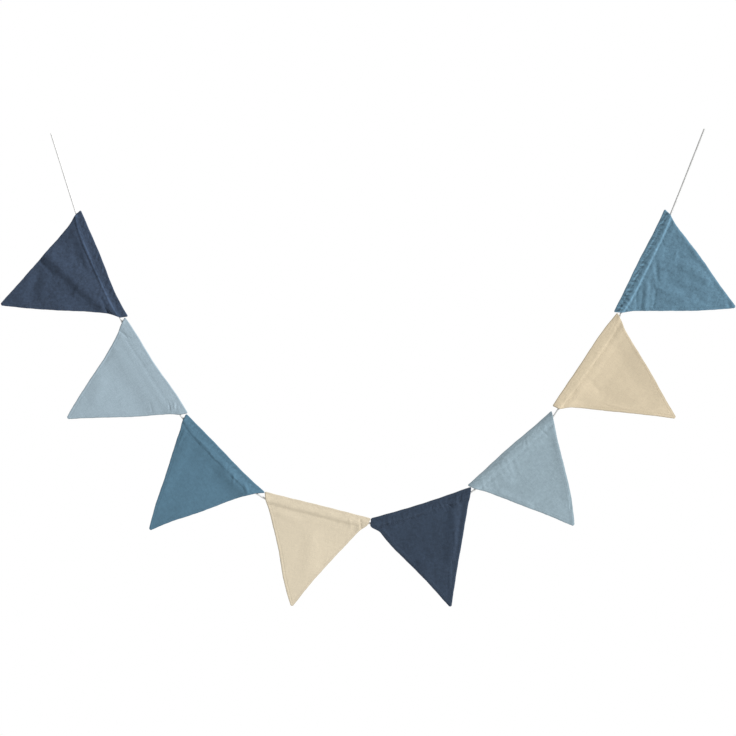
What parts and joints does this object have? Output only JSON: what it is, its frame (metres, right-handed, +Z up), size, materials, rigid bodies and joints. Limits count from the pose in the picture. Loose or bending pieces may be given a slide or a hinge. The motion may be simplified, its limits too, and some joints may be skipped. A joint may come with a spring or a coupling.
{
  "type": "bunting with triangular pennants on a cord",
  "caption": "Hanging string of triangular cotton pennants, each with a sewn channel along its top that a twisted cord runs through.",
  "frame": {"origin": "the left end of the cord, where the bunting is tied or pinned up", "axes": "+X to the right along the string, +Z up, the front of the cloth faces -Y"},
  "size_m": [1.101, 0.0126, 0.7169],
  "materials": {
    "navy": "matt plain-weave cotton, navy",
    "light_blue": "matt plain-weave cotton, pale grey-blue",
    "mid_blue": "matt plain-weave cotton, dusty blue",
    "cream": "matt plain-weave cotton, cream",
    "cord": "twisted off-white cotton cord"
  },
  "bodies": {
    "root": {"pennant_1_navy": "navy", "pennant_2_light_blue": "light_blue", "pennant_3_mid_blue": "mid_blue", "pennant_4_cream": "cream", "pennant_5_navy": "navy", "pennant_6_light_blue": "light_blue", "pennant_7_cream": "cream", "pennant_8_mid_blue": "mid_blue", "cord": "cord"}
  },
  "joints": []
}
